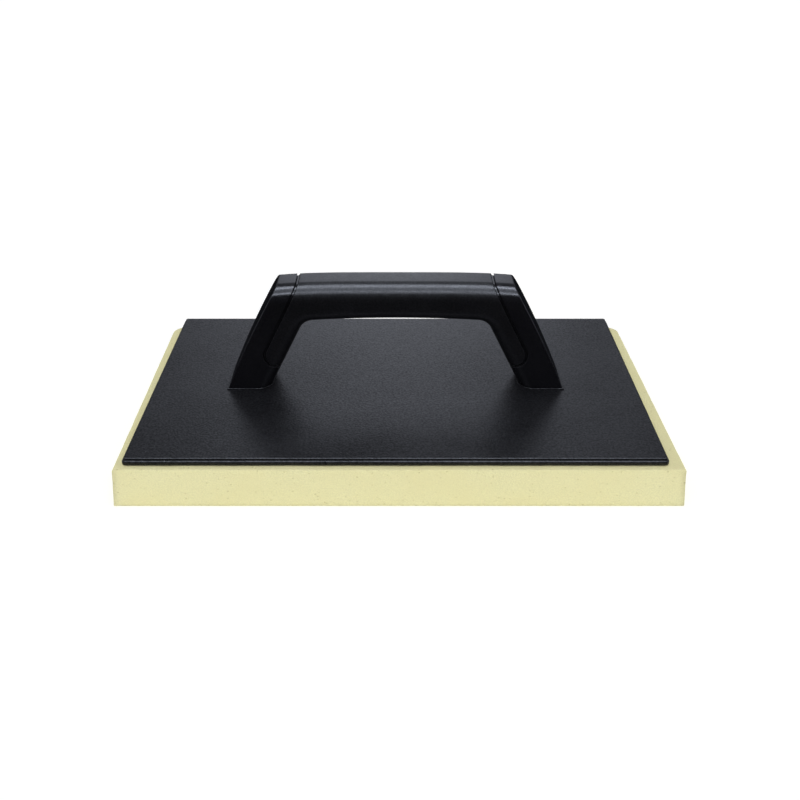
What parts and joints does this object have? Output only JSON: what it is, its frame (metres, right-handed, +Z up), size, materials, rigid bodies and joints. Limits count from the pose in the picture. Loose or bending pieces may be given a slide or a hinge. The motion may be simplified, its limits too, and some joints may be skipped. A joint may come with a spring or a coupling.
{
  "type": "grout float",
  "caption": "Flat hand float: a foam pad bonded under a rectangular moulded plate, with a closed arched handle standing across its length.",
  "frame": {"origin": "on the foam pad's working face, straight below the middle of the base plate", "axes": "+X along the float's length and along the handle, +Y from the front edge to the back edge, +Z up through the handle"},
  "size_m": [0.3219, 0.1857, 0.0974],
  "materials": {
    "foam": "open-cell polyurethane foam, matt and finely pitted",
    "adhesive": "dried contact adhesive",
    "plate_plastic": "fine spark-textured moulding, satin",
    "handle_plastic": "smooth moulding, satin",
    "cover_plastic": "smooth soft plastic, satin",
    "screw_steel": "zinc plated"
  },
  "bodies": {
    "root": {"foam_pad": "foam", "adhesive_film": "adhesive", "base_plate": "plate_plastic", "handle_frame": "handle_plastic", "closing_strip": "handle_plastic", "grip_cover": "cover_plastic", "handle_screws": "screw_steel"}
  },
  "joints": []
}
